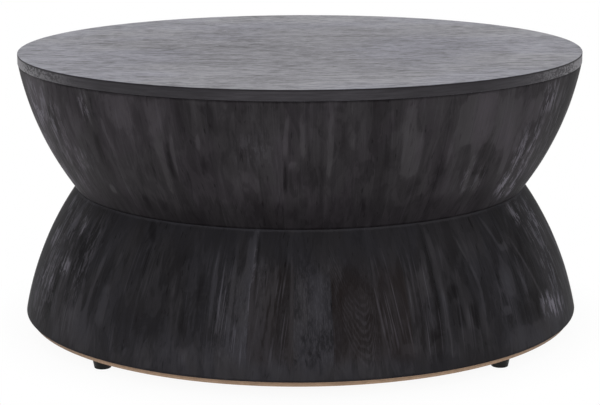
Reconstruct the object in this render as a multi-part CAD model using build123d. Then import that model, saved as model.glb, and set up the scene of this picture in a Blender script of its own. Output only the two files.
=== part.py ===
from build123d import *
import os
from math import hypot, sin, sqrt

# A low round drum table. A plank top lies on an upper bowl, which narrows to a waist, and a lower
# bowl widens again to a thin base board on four rubber feet. Both bowls are coopered from solid-wood
# staves around plywood rings. Units are millimetres, +Z is up, the front is -Y, and the origin is on
# the floor under the middle of the table.

# ---- Top ----
top_radius = 457.2
top_thickness = 16.5
top_board_count = 7
top_arris = 0.8             # easing of the top's two round edges
top_overhang = 0.6          # how far the top stands out past the upper bowl

# ---- Bowls ----
waist_radius = 367.5        # outside of both bowls where they meet
base_setback = 0.7          # how far the lower bowl's foot lies inside the edge of the top
upper_bowl_height = 204.3
lower_bowl_height = 205.2
upper_bulge = 13.1          # how far the wall bows out past a straight line from waist to rim
lower_bulge = 12.5
stave_thickness = 15.0
stave_arris = 0.8           # easing of the staves' outer ends
staves_per_panel = 4
panels_per_bowl = 12

# The staves are sawn from boards of mixed width. Each bowl's widths rise and fall along a sine
# wave: the first joint's angle is in degrees from the front, the ratio is how far a width strays
# from the mean, and the wave's step angle from stave to stave and its phase angle are in radians.
upper_first_joint_angle = 5.0
upper_width_ratio = 0.34
upper_step_angle = 2.4
upper_phase_angle = 3.0
lower_first_joint_angle = 6.0
lower_width_ratio = 0.18
lower_step_angle = 1.9
lower_phase_angle = 1.8

# ---- Plywood rings inside ----
ring_thickness = 15.0
rim_ring_width = 70.0
waist_ring_width = 75.0
base_ring_width = 60.0
glue_line = 0.3             # between a ring's bevelled edge and the staves

# ---- Base board and feet ----
base_board_thickness = 8.0
base_board_inset = 6.9      # from the staves' lower edge to the board's edge
foot_count = 4
foot_height = 16.0
foot_top_radius = 16.0
foot_sole_radius = 13.0
foot_sole_edge = 1.0        # rounding round the sole
foot_recess_radius = 7.5
foot_recess_depth = 8.0
foot_screw_edge_distance = 13.0     # from the base ring's edge in to the foot's screw

# ---- Screws, bolts and washers ----
screw_radius = 2.0
screw_tip = 3.0
screw_head_radius = 3.9
pan_head_height = 2.6
flat_head_height = 2.2
recess_arm = 2.4            # half the length of the cross recess
recess_width = 0.9
recess_depth = 1.3
pilot_clearance = 0.1       # round a screw where it bites
pilot_run_out = 1.0         # pilot hole past the screw's tip
shank_clearance = 0.4       # round a screw where it passes freely
top_screw_clearance = 1.5   # wider, so that the plank top can swell and shrink
screw_washer_radius = 6.5
screw_washer_thickness = 1.2
washer_hole_clearance = 0.25
top_screw_count = 16
top_screw_bite = 8.8
base_screw_count = 12
base_screw_bite = 12.0
foot_screw_bite = 12.8

waist_bolt_count = 8
bolt_radius = 4.0
bolt_head_height = 5.3
bolt_across_flats = 13.0
bolt_tail = 4.5             # left over past the nut
bolt_hole_clearance = 0.5
nut_height = 6.5
nut_thread_clearance = 0.1
bolt_washer_radius = 12.0
bolt_washer_thickness = 2.0

# ---- Heights and radii that follow ----
base_board_z = foot_height
lower_bowl_z = base_board_z + base_board_thickness
waist_z = lower_bowl_z + lower_bowl_height
top_z = waist_z + upper_bowl_height
mouth_radius = top_radius - top_overhang
base_radius = top_radius - base_setback
base_board_radius = base_radius - base_board_inset
staves_per_bowl = staves_per_panel * panels_per_bowl
front_angle = -90.0         # the front, as an angle from +X
upward = 1
downward = -1


class Bowl:
    """One coopered bowl: its wall is a round arc from the waist to the rim, turned about Z."""

    def __init__(self, rim_radius, height, bulge, direction):
        self.height = height
        self.direction = direction
        flare = rim_radius - waist_radius
        chord = hypot(flare, height)
        self.arc_radius = (chord * chord / 4 + bulge * bulge) / (2 * bulge)
        reach = self.arc_radius - bulge
        self.centre_radius = (waist_radius + rim_radius) / 2 - reach * height / chord
        self.centre_height = height / 2 + reach * flare / chord

    def radius(self, from_waist, depth=0.0):
        """Radius of the wall at a height from the waist, depth under its outer face."""
        across = from_waist - self.centre_height
        return self.centre_radius + sqrt((self.arc_radius - depth) ** 2 - across ** 2)

    def z(self, from_waist):
        return waist_z + self.direction * from_waist

    def point(self, from_waist, depth=0.0):
        return (self.radius(from_waist, depth), self.z(from_waist))

    def wall_section(self):
        """Section of the wall: outer arc, rim, inner arc and waist, with the outer ends eased."""
        middle = self.height / 2
        outer = ThreePointArc(
            self.point(stave_arris),
            self.point(middle),
            self.point(self.height - stave_arris),
        )
        inner = ThreePointArc(
            self.point(self.height, stave_thickness),
            self.point(middle, stave_thickness),
            self.point(0, stave_thickness),
        )
        rim_corner = (self.radius(self.height) - stave_arris, self.z(self.height))
        waist_corner = (self.radius(0) - stave_arris, self.z(0))
        rim = Polyline(outer @ 1, rim_corner, inner @ 0)
        waist = Polyline(inner @ 1, waist_corner, outer @ 0)
        return Plane.XZ * make_face([outer, rim, inner, waist])

    def ring_edge(self, from_waist):
        """Radius of a ring's edge inside the wall, a glue line clear of it."""
        return self.radius(from_waist, stave_thickness) - glue_line

    def ring(self, start, width):
        """Plywood ring inside the wall, its edge bevelled to the wall's slope."""
        end = start + ring_thickness
        inner_radius = min(self.ring_edge(start), self.ring_edge(end)) - width
        return turned(
            (inner_radius, self.z(start)),
            (self.ring_edge(start), self.z(start)),
            (self.ring_edge(end), self.z(end)),
            (inner_radius, self.z(end)),
        )


def turned(*points):
    """A solid of revolution about Z from its section's corners, as (radius, height)."""
    section = Plane.XZ * make_face(Polyline(*points, close=True))
    return revolve(section, Axis.Z)


def disc(radius, z, thickness):
    """A flat round plate about Z with its lower face at z."""
    return Pos(0, 0, z + thickness / 2) * Cylinder(radius, thickness)


def washer(radius, hole_radius, thickness):
    """A washer with its lower face at the origin."""
    return disc(radius, 0, thickness) - disc(hole_radius, 0, thickness)


def places_round(radius, count, first_angle, z):
    """Evenly spaced places on a circle about Z, each turned to face outwards."""
    step = 360 / count
    return [
        Rot(0, 0, first_angle + step * number) * Pos(radius, 0, z)
        for number in range(count)
    ]


def group(shape, places):
    """Copies of one solid at the given places, as one node of separate solids."""
    return Compound([place * solid for place in places for solid in shape.solids()])


def bored(shape, hole, places):
    """The shape with the hole's solid cut out of it at each place."""
    for place in places:
        shape -= place * hole
    return shape


def joint_angles(first_joint_angle, width_ratio, step_angle, phase_angle):
    """Angles of the joints between staves, once round, ending a full turn on."""
    shares = [
        1 + width_ratio * sin(phase_angle + step_angle * number)
        for number in range(staves_per_bowl)
    ]
    angle = front_angle + first_joint_angle
    angles = [angle]
    for share in shares:
        angle += 360 * share / sum(shares)
        angles.append(angle)
    return angles


def stave_panels(bowl, angles):
    """The bowl's staves, glued up side by side in panels."""
    section = bowl.wall_section()
    staves = [
        Rot(0, 0, start) * revolve(section, Axis.Z, revolution_arc=end - start)
        for start, end in zip(angles, angles[1:])
    ]
    solids = [stave.solid() for stave in staves]
    return [
        Compound(solids[first:first + staves_per_panel])
        for first in range(0, staves_per_bowl, staves_per_panel)
    ]


def cross_recess():
    """Cross recess of a screw head, cut upwards from the origin."""
    arm = Pos(0, 0, recess_depth / 2) * Box(2 * recess_arm, recess_width, recess_depth)
    return arm + Rot(0, 0, 90) * arm


def pan_screw(length):
    """Pan-head wood screw pointing up, with the seat under its head at the origin."""
    shoulder = screw_head_radius - pan_head_height / 2
    body = turned(
        (0, -pan_head_height),
        (shoulder, -pan_head_height),
        (screw_head_radius, -pan_head_height / 2),
        (screw_head_radius, 0),
        (screw_radius, 0),
        (screw_radius, length - screw_tip),
        (0, length),
    )
    return body - Pos(0, 0, -pan_head_height) * cross_recess()


def flat_screw(length):
    """Countersunk wood screw pointing up, with its flat head's face at the origin."""
    body = turned(
        (0, 0),
        (screw_head_radius, 0),
        (screw_radius, flat_head_height),
        (screw_radius, length - screw_tip),
        (0, length),
    )
    return body - cross_recess()


def hexagon(across_flats, height):
    """A hexagonal block standing on the origin."""
    return extrude(RegularPolygon(across_flats / 2, 6, major_radius=False), height)


# ---- Bowls and the rings inside them ----
upper_bowl = Bowl(mouth_radius, upper_bowl_height, upper_bulge, upward)
lower_bowl = Bowl(base_radius, lower_bowl_height, lower_bulge, downward)
upper_joints = joint_angles(
    upper_first_joint_angle, upper_width_ratio, upper_step_angle, upper_phase_angle
)
lower_joints = joint_angles(
    lower_first_joint_angle, lower_width_ratio, lower_step_angle, lower_phase_angle
)
upper_panels = stave_panels(upper_bowl, upper_joints)
lower_panels = stave_panels(lower_bowl, lower_joints)
rim_ring = upper_bowl.ring(upper_bowl_height - ring_thickness, rim_ring_width)
upper_waist_ring = upper_bowl.ring(0, waist_ring_width)
lower_waist_ring = lower_bowl.ring(0, waist_ring_width)
base_ring = lower_bowl.ring(lower_bowl_height - ring_thickness, base_ring_width)

# ---- Top boards, screwed up from the rim ring ----
rim_ring_z = top_z - ring_thickness
rim_ring_edge = upper_bowl.ring_edge(upper_bowl_height - ring_thickness)
top_screw_seat = rim_ring_z - screw_washer_thickness
top_screw_length = screw_washer_thickness + ring_thickness + top_screw_bite
top_screw_circle = rim_ring_edge - rim_ring_width / 2
top_screw_places = places_round(top_screw_circle, top_screw_count, 0, top_screw_seat)
top_pilot = disc(screw_radius + pilot_clearance, 0, top_screw_length + pilot_run_out)
top_hole = disc(screw_radius + top_screw_clearance, 0, top_screw_length)
rim_ring = bored(rim_ring, top_hole, top_screw_places)
top_disc = disc(top_radius, top_z, top_thickness)
top_disc = chamfer(top_disc.edges().filter_by(GeomType.CIRCLE), top_arris)
top_disc = bored(top_disc, top_pilot, top_screw_places)
board_width = 2 * top_radius / top_board_count
board_blank = Box(2 * top_radius, board_width, top_thickness)
board_middle = top_z + top_thickness / 2
first_board_y = board_width / 2 - top_radius
top_boards = [
    top_disc & Pos(0, first_board_y + board_width * number, board_middle) * board_blank
    for number in range(top_board_count)
]
top_screws = group(pan_screw(top_screw_length), top_screw_places)
screw_washer = washer(screw_washer_radius, screw_radius + washer_hole_clearance, screw_washer_thickness)
top_screw_washers = group(screw_washer, top_screw_places)

# ---- Waist bolts, heads on the upper ring and nuts under the lower one ----
bolt_circle = upper_bowl.ring_edge(0) - waist_ring_width / 2
upper_seat = waist_z + ring_thickness
lower_seat = waist_z - ring_thickness
head_seat = upper_seat + bolt_washer_thickness
nut_z = lower_seat - bolt_washer_thickness - nut_height
bolt_end = nut_z - bolt_tail
bolt_first_angle = 180 / waist_bolt_count
bolt_hole = disc(bolt_radius + bolt_hole_clearance, -ring_thickness, 2 * ring_thickness)
bolt_hole_places = places_round(bolt_circle, waist_bolt_count, bolt_first_angle, waist_z)
upper_waist_ring = bored(upper_waist_ring, bolt_hole, bolt_hole_places)
lower_waist_ring = bored(lower_waist_ring, bolt_hole, bolt_hole_places)
bolt = disc(bolt_radius, bolt_end, head_seat - bolt_end)
bolt += Pos(0, 0, head_seat) * hexagon(bolt_across_flats, bolt_head_height)
nut = hexagon(bolt_across_flats, nut_height)
nut -= disc(bolt_radius + nut_thread_clearance, 0, nut_height)
bolt_washer = washer(bolt_washer_radius, bolt_radius + washer_hole_clearance, bolt_washer_thickness)
waist_bolts = group(bolt, places_round(bolt_circle, waist_bolt_count, bolt_first_angle, 0))
waist_nuts = group(nut, places_round(bolt_circle, waist_bolt_count, bolt_first_angle, nut_z))
waist_washers = group(
    bolt_washer,
    places_round(bolt_circle, waist_bolt_count, bolt_first_angle, upper_seat)
    + places_round(bolt_circle, waist_bolt_count, bolt_first_angle, nut_z + nut_height),
)

# ---- Base board, screwed up into the base ring ----
base_ring_edge = lower_bowl.ring_edge(lower_bowl_height)
base_screw_length = base_board_thickness + base_screw_bite
base_screw_circle = base_ring_edge - base_ring_width / 2
base_screw_places = places_round(base_screw_circle, base_screw_count, 0, base_board_z)
base_pilot = disc(screw_radius + pilot_clearance, 0, base_screw_length + pilot_run_out)
countersunk_hole = turned(
    (0, 0),
    (screw_head_radius + pilot_clearance, 0),
    (screw_radius + pilot_clearance, flat_head_height),
    (screw_radius + pilot_clearance, base_board_thickness),
    (0, base_board_thickness),
)
base_board = disc(base_board_radius, base_board_z, base_board_thickness)
base_board = bored(base_board, countersunk_hole, base_screw_places)
base_ring = bored(base_ring, base_pilot, base_screw_places)
base_screws = group(flat_screw(base_screw_length), base_screw_places)

# ---- Feet, each held by one screw and washer up its recess ----
foot_circle = base_ring_edge - foot_screw_edge_distance
foot_first_angle = front_angle - 180 / foot_count
foot_places = places_round(foot_circle, foot_count, foot_first_angle, 0)
foot_web = foot_height - foot_recess_depth
foot_screw_seat = foot_recess_depth - screw_washer_thickness
foot_screw_length = screw_washer_thickness + foot_web + base_board_thickness + foot_screw_bite
foot_screw_places = places_round(foot_circle, foot_count, foot_first_angle, foot_screw_seat)
foot_hole = disc(screw_radius + shank_clearance, 0, foot_screw_length)
foot_pilot = disc(screw_radius + pilot_clearance, 0, foot_screw_length + pilot_run_out)
foot = turned(
    (0, 0),
    (foot_sole_radius - foot_sole_edge, 0),
    (foot_sole_radius, foot_sole_edge),
    (foot_top_radius, foot_height),
    (0, foot_height),
)
foot -= disc(foot_recess_radius, 0, foot_recess_depth)
foot -= Pos(0, 0, foot_screw_seat) * foot_hole
base_board = bored(base_board, foot_hole, foot_screw_places)
base_ring = bored(base_ring, foot_pilot, foot_screw_places)
foot_screws = group(pan_screw(foot_screw_length), foot_screw_places)
foot_washers = group(screw_washer, foot_screw_places)

# ---- One STEP file for each node ----
nodes = {
    "rim_ring": rim_ring,
    "upper_waist_ring": upper_waist_ring,
    "lower_waist_ring": lower_waist_ring,
    "base_ring": base_ring,
    "base_board": base_board,
    "top_screws": top_screws,
    "top_screw_washers": top_screw_washers,
    "waist_bolts": waist_bolts,
    "waist_washers": waist_washers,
    "waist_nuts": waist_nuts,
    "base_screws": base_screws,
    "foot_screws": foot_screws,
    "foot_washers": foot_washers,
}
for number, board in enumerate(top_boards, start=1):
    nodes[f"top_board_{number}"] = board
for number, panel in enumerate(upper_panels, start=1):
    nodes[f"upper_stave_panel_{number:02d}"] = panel
for number, panel in enumerate(lower_panels, start=1):
    nodes[f"lower_stave_panel_{number:02d}"] = panel
for number, place in enumerate(foot_places, start=1):
    nodes[f"foot_{number}"] = place * foot

os.makedirs("parts", exist_ok=True)
for name, shape in nodes.items():
    export_step(shape, f"parts/{name}.step")
print(f"{len(nodes)} nodes, {top_z + top_thickness:.1f} mm high, {2 * top_radius:.1f} mm across")
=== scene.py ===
# %% [markdown]
# # A charcoal drum table
#
# The table is a plank top on two coopered bowls that meet at a narrow waist. Each bowl is a ring of
# tapered staves, glued edge to edge round plywood rings and turned smooth. A thin bare board closes
# the base, and four rubber feet lift it off the floor. The solid model holds every piece at its real
# size, so this script only dresses it. The black wood and the feet are remade as finer surfaces in
# the same places, and the plywood and the steel keep their solids and get a finish.

import bmesh
import bpy
import numpy as np
from mathutils import Matrix, Vector


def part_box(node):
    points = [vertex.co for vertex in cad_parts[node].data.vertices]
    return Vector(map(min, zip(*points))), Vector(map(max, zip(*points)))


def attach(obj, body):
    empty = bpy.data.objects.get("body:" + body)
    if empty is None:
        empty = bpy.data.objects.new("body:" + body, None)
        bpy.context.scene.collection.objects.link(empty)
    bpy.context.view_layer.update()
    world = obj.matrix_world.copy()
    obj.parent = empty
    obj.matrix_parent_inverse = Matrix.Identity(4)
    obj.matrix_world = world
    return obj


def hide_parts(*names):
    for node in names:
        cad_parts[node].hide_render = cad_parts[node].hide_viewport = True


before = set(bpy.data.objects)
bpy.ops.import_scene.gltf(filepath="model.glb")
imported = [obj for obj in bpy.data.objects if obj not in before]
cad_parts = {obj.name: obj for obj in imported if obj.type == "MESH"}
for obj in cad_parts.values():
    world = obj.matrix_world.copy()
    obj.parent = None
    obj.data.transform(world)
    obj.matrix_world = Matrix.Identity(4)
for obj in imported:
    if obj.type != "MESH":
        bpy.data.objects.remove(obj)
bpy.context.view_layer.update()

# %% [markdown]
# ## The camera
#
# A long lens from three metres away flattens the drum and keeps its curves true. It could be aimed
# with a target object, but three turns in a fixed order say exactly how it stands: turned a little
# to the right, tipped twelve degrees down, and rolled a fifth of a degree.

# %% Camera
LENS_MM = 107.98
SENSOR_MM = 36.0
CAMERA_PLACE = (-0.0063, -2.9294, 0.8349)
TIP_DOWN = np.radians(12.43)
TURN_RIGHT = np.radians(0.114)
ROLL = np.radians(-0.198)


def add_object(name, data):
    """A new object in the scene, at the origin."""
    made = bpy.data.objects.new(name, data)
    bpy.context.scene.collection.objects.link(made)
    return made


camera_data = bpy.data.cameras.new("camera")
camera_data.lens = LENS_MM
camera_data.sensor_width = SENSOR_MM
camera = add_object("camera", camera_data)
bpy.context.scene.camera = camera
camera.matrix_world = (
    Matrix.Translation(CAMERA_PLACE)
    @ Matrix.Rotation(-TURN_RIGHT, 4, "Z")
    @ Matrix.Rotation(np.pi / 2 - TIP_DOWN, 4, "X")
    @ Matrix.Rotation(ROLL, 4, "Z")
)
bpy.context.scene.view_settings.view_transform = "Standard"
print("camera stands at", CAMERA_PLACE)


# %% [markdown]
# ## Shader maths as Python
#
# A finish is a formula over the surface. Wrapping each socket in a small class lets the formula be
# written as one, such as `1 - pores * 0.3`, and every operator adds the Math node that it stands for.
# All other nodes come from one method, which takes a node's type, its settings and its inputs.

# %% Wires and finishes
class Wire:
    """One output of a node. Arithmetic on it adds Math nodes."""

    def __init__(self, finish, socket):
        self.finish = finish
        self.socket = socket

    def __add__(self, other):
        return self.finish.maths("ADD", self, other)

    def __radd__(self, other):
        return self.finish.maths("ADD", other, self)

    def __sub__(self, other):
        return self.finish.maths("SUBTRACT", self, other)

    def __rsub__(self, other):
        return self.finish.maths("SUBTRACT", other, self)

    def __mul__(self, other):
        return self.finish.maths("MULTIPLY", self, other)

    def __rmul__(self, other):
        return self.finish.maths("MULTIPLY", other, self)


class Finish:
    """A node material, or the world, with short ways to the nodes that the finishes use."""

    def __init__(self, owner, output_type="ShaderNodeOutputMaterial"):
        owner.use_nodes = True
        self.owner = owner
        self.tree = owner.node_tree
        self.tree.nodes.clear()
        self.output = self.tree.nodes.new(output_type)

    def node(self, kind, settings=None, inputs=None, output=0):
        """A node of that type: its settings first, then the values or wires of its inputs."""
        made = self.tree.nodes.new(kind)
        for name, value in (settings or {}).items():
            setattr(made, name, value)
        for name, value in (inputs or {}).items():
            if isinstance(value, Wire):
                self.tree.links.new(value.socket, made.inputs[name])
            else:
                made.inputs[name].default_value = value
        return Wire(self, made.outputs[output])

    def end(self, shader):
        self.tree.links.new(shader.socket, self.output.inputs["Surface"])
        return self.owner

    def maths(self, operation, *values):
        return self.node("ShaderNodeMath", {"operation": operation}, dict(enumerate(values)))

    def vector_maths(self, operation, *values, output=0):
        settings = {"operation": operation}
        return self.node("ShaderNodeVectorMath", settings, dict(enumerate(values)), output)

    def step(self, value, low, high):
        """0 below low, 1 above high, and a smooth step between."""
        settings = {"interpolation_type": "SMOOTHSTEP"}
        return self.node("ShaderNodeMapRange", settings, {0: value, 1: low, 2: high, 3: 0.0, 4: 1.0})

    def larger(self, first, second):
        return self.maths("MAXIMUM", first, second)

    def wave(self, value):
        """A sine of the value, moved to run from 0 to 1."""
        return self.maths("SINE", value) * 0.5 + 0.5

    def size(self, value):
        """The value without its sign."""
        return self.maths("ABSOLUTE", value)

    def mix(self, share, first, second):
        """A colour between two, by share."""
        first = first if isinstance(first, Wire) else (*first, 1.0)
        second = second if isinstance(second, Wire) else (*second, 1.0)
        return self.node("ShaderNodeMix", {"data_type": "RGBA"}, {0: share, 6: first, 7: second}, 2)

    def vector(self, x, y, z):
        return self.node("ShaderNodeCombineXYZ", {}, {0: x, 1: y, 2: z})

    def parts(self, vector):
        """The x, y and z of a vector."""
        outputs = self.node("ShaderNodeSeparateXYZ", {}, {0: vector}).socket.node.outputs
        return [Wire(self, outputs[index]) for index in range(3)]

    def noise(self, vector, lumps, detail=3.0, roughness=0.5, distortion=0.0):
        """Soft noise from 0 to 1, with so many lumps to a metre along x, y and z."""
        place = self.vector_maths("MULTIPLY", vector, lumps)
        inputs = {"Vector": place, "Scale": 1.0, "Detail": detail, "Roughness": roughness}
        return self.node("ShaderNodeTexNoise", {}, inputs | {"Distortion": distortion})

    def stored(self, name, output=2):
        """A number that the mesh keeps at its points, or three of them by output 1."""
        return self.node("ShaderNodeAttribute", {"attribute_name": name}, {}, output)

    def place(self):
        """Metres in the table's own frame."""
        return self.node("ShaderNodeTexCoord", {}, {}, 3)

    def bump(self, height, distance):
        return self.node("ShaderNodeBump", {}, {"Height": height, "Distance": distance})

    def surface(self, **inputs):
        """The main shader. A name stands for its socket, with underscores for spaces."""
        named = {name.replace("_", " "): value for name, value in inputs.items()}
        return self.node("ShaderNodeBsdfPrincipled", {}, named)


def new_finish(name):
    return Finish(bpy.data.materials.new(name))


print("shader helpers are ready")

# %% [markdown]
# ## The room
#
# At a slant even black lacquer mirrors a third of the room, and that is what turns the dark top
# pale. So the room matters as much as the stain. The far wall is plain white, and the side walls
# and the ceiling are greyer, as in a studio where only the paper behind the table is lit.

# %% World
WALL_LIGHT = 1.0
CEILING_LIGHT = 0.35
SIDE_WALL_LIGHT = 0.50
GATHERED_SHARE = 0.8
CEILING_TURN = (0.25, 0.85)
FAR_WALL_TURN = (0.82, 0.97)
WHITE = (1.0, 1.0, 1.0, 1.0)


def looking(finish):
    """1 for a ray that looks at the room, straight, by mirror or through glass, and 0 for a ray
    that gathers light."""
    rays = finish.node("ShaderNodeLightPath").socket.node.outputs
    seen = Wire(finish, rays["Is Camera Ray"])
    for name in ("Is Glossy Ray", "Is Transmission Ray"):
        seen = finish.larger(seen, Wire(finish, rays[name]))
    return seen


world = bpy.data.worlds.new("studio")
bpy.context.scene.world = world
sky = Finish(world, "ShaderNodeOutputWorld")
straight = Wire(sky, sky.node("ShaderNodeLightPath").socket.node.outputs["Is Camera Ray"])
_, backwards, upwards = sky.parts(sky.node("ShaderNodeTexCoord", {}, {}, 0))
ceiling = sky.step(upwards, *CEILING_TURN)
far_wall = sky.step(backwards, *FAR_WALL_TURN)
room = WALL_LIGHT - ceiling * (WALL_LIGHT - CEILING_LIGHT)
seen_room = room * (SIDE_WALL_LIGHT + far_wall * (1 - SIDE_WALL_LIGHT))
looks = looking(sky)
room = room * GATHERED_SHARE * (1 - looks) + seen_room * looks
strength = straight + (1 - straight) * room
sky.end(sky.node("ShaderNodeBackground", {}, {"Color": WHITE, "Strength": strength}))
print("room: walls", WALL_LIGHT, "ceiling", CEILING_LIGHT)

# %% [markdown]
# ## The floor
#
# White studio paper takes only a faint shadow, and so does this disc: near the table a tenth of it is
# matt paint, and the rest glows white. It is clear from below, to show the feet.

# %% Floor
FLOOR_RADIUS = 14.0
FLOOR_CORNERS = 96
FLOOR_WHITE = 0.93
SHADOW_SHARE = 0.10
SHADOW_FADES = (0.34, 0.56)

around = np.linspace(0, 2 * np.pi, FLOOR_CORNERS, endpoint=False)
rim = np.stack([np.cos(around), np.sin(around), np.zeros_like(around)], axis=1) * FLOOR_RADIUS
floor_mesh = bpy.data.meshes.new("floor")
floor_mesh.from_pydata(rim.tolist(), [], [list(range(len(rim)))])
floor = add_object("floor", floor_mesh)

paint = new_finish("white_floor")
matt = paint.node("ShaderNodeBsdfDiffuse", {}, {"Color": (*[FLOOR_WHITE] * 3, 1.0)})
glow = paint.node("ShaderNodeEmission", {}, {"Color": WHITE, "Strength": 1.0})
far = paint.vector_maths("LENGTH", paint.place(), output=1)
shadow_share = (1 - paint.step(far, *SHADOW_FADES)) * SHADOW_SHARE
share = looking(paint) * (1 - shadow_share)
white = paint.node("ShaderNodeMixShader", {}, {0: share, 1: matt, 2: glow})
below = paint.node("ShaderNodeNewGeometry", {}, {}, 6)
clear = paint.node("ShaderNodeBsdfTransparent")
floor_skin = paint.node("ShaderNodeMixShader", {}, {0: below, 1: white, 2: clear})
floor_mesh.materials.append(paint.end(floor_skin))
print("floor reaches", FLOOR_RADIUS, "m")


# %% [markdown]
# ## The lamps
#
# One wide soft lamp hangs above and one stands in front. Point lamps would draw hard glints.

# %% Lamps
def soft_lamp(name, place, aim, width, depth, watts):
    """A rectangular lamp at a place, facing a point."""
    data = bpy.data.lights.new(name, "AREA")
    data.shape = "RECTANGLE"
    data.size = width
    data.size_y = depth
    data.energy = watts
    lamp = add_object(name, data)
    facing = (Vector(aim) - Vector(place)).to_track_quat("-Z", "Y")
    lamp.matrix_world = Matrix.Translation(place) @ facing.to_matrix().to_4x4()


TABLE_MIDDLE = (0.0, 0.0, 0.3)
soft_lamp("overhead", (0.0, 0.3, 3.2), TABLE_MIDDLE, width=3.0, depth=3.0, watts=38.0)
soft_lamp("front", (0.0, -2.6, 2.6), TABLE_MIDDLE, width=3.2, depth=1.4, watts=10.0)
print("lamps:", [lamp.name for lamp in bpy.data.lights])

# %% [markdown]
# ## Sizes
#
# The heights and the top's radius are read from the solid pieces. The bowls' curve and the joints
# between staves are two short formulas, so they are worked out again here rather than measured.

# %% Heights, radii and the bowls' curve
top_low, top_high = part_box("top_board_4")
TOP_RADIUS = (top_high[0] - top_low[0]) / 2
TOP_Z = top_low[2]
TOP_FACE_Z = top_high[2]
WAIST_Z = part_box("upper_waist_ring")[0][2]
FOOT_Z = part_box("base_board")[1][2]

WAIST_RADIUS = 0.3675
MOUTH_RADIUS = 0.4566
BASE_RADIUS = 0.4565
UPPER_BULGE = 0.0131
LOWER_BULGE = 0.0125
STAVE_THICKNESS = 0.015
STAVES_PER_PANEL = 4
PANELS = 12
FRONT = np.radians(-90.0)


class Bowl:
    """The wall of one bowl. Its section is a round arc that bows out past the straight line from
    the waist to the rim, and it is turned about the table's middle."""

    def __init__(self, rim_radius, rim_z, bulge):
        self.height = abs(rim_z - WAIST_Z)
        self.upwards = np.sign(rim_z - WAIST_Z)
        flare = rim_radius - WAIST_RADIUS
        chord = np.hypot(flare, self.height)
        self.arc_radius = (chord ** 2 / 4 + bulge ** 2) / (2 * bulge)
        reach = self.arc_radius - bulge
        self.centre_radius = (WAIST_RADIUS + rim_radius) / 2 - reach * self.height / chord
        self.centre_height = self.height / 2 + reach * flare / chord

    def radius(self, from_waist, depth):
        """The arc's centre plus the leg of a right triangle whose long side is the arc's radius
        less the depth under the outer face."""
        across = from_waist - self.centre_height
        return self.centre_radius + np.sqrt((self.arc_radius - depth) ** 2 - across ** 2)

    def along(self, from_waist):
        """Metres along the wall from the waist: the arc's radius times the angle turned."""
        angle = np.arcsin((from_waist - self.centre_height) / self.arc_radius)
        return self.arc_radius * (angle + np.arcsin(self.centre_height / self.arc_radius))


def joint_angles(first_degrees, ratio, step, phase):
    """Angles of the joints. Each stave's share of the circle is 1 plus ratio times a sine whose
    phase moves on by the same step from stave to stave, and the shares fill one full turn."""
    shares = 1 + ratio * np.sin(phase + step * np.arange(STAVES_PER_PANEL * PANELS))
    turned = np.concatenate([[0.0], np.cumsum(shares)]) / shares.sum()
    return FRONT + np.radians(first_degrees) + 2 * np.pi * turned


upper_bowl = Bowl(MOUTH_RADIUS, TOP_Z, UPPER_BULGE)
lower_bowl = Bowl(BASE_RADIUS, FOOT_Z, LOWER_BULGE)
upper_joints = joint_angles(5.0, 0.34, 2.4, 3.0)
lower_joints = joint_angles(6.0, 0.18, 1.9, 1.8)
print("waist at", round(WAIST_Z, 4), "staves in each bowl:", len(upper_joints) - 1)


# %% [markdown]
# ## Surfaces as grids
#
# Each wooden piece is a closed loop of points, carried along the piece one row at a time, with a lid
# on each end. Rows and columns are worked out as whole arrays. A few extra ones crowd together near
# the edges, so that every edge is truly eased and catches a line of light. Points that fall together
# are merged, and the faces are turned outwards.

# %% Grid helpers
EASE_TURNS = np.linspace(0, np.pi / 2, 4)


def eased_steps(length, count, ease):
    """Places along a length and how far the surface drops at each one. Near both ends they follow
    a quarter round of radius `ease`: the place is ease times (1 - cos), the drop ease times
    (1 - sin), over a quarter turn."""
    near = ease * (1 - np.cos(EASE_TURNS))
    drop = ease * (1 - np.sin(EASE_TURNS))
    middle = np.linspace(ease, length - ease, count)[1:-1]
    places = np.concatenate([near, middle, length - near[::-1]])
    drops = np.concatenate([drop, np.zeros_like(middle), drop[::-1]])
    return places, drops


def corners(rows, columns):
    """The number of each point of a grid, counted row by row."""
    return np.arange(rows * columns).reshape(rows, columns)


def tube_faces(rows, columns):
    """Quads between each row and the next, closed round each row."""
    corner = corners(rows, columns)
    beside = np.roll(corner, -1, axis=1)
    return np.stack([corner[:-1], beside[:-1], beside[1:], corner[1:]], axis=-1).reshape(-1, 4)


def lid_faces(loop):
    """Quads over a loop whose second half runs back beside its first half."""
    half = len(loop) // 2
    there = loop[:half]
    back = loop[::-1][:half]
    return np.stack([there[:-1], back[:-1], back[1:], there[1:]], axis=-1)


def closed_faces(rows, columns):
    """Faces of a tube with both its lids."""
    corner = corners(rows, columns)
    return np.concatenate([tube_faces(rows, columns), lid_faces(corner[0]), lid_faces(corner[-1])])


MERGE_DISTANCE = 1e-6
UPRIGHT_SHARE = 0.8
SHARP_ANGLE = np.radians(40.0)


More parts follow.
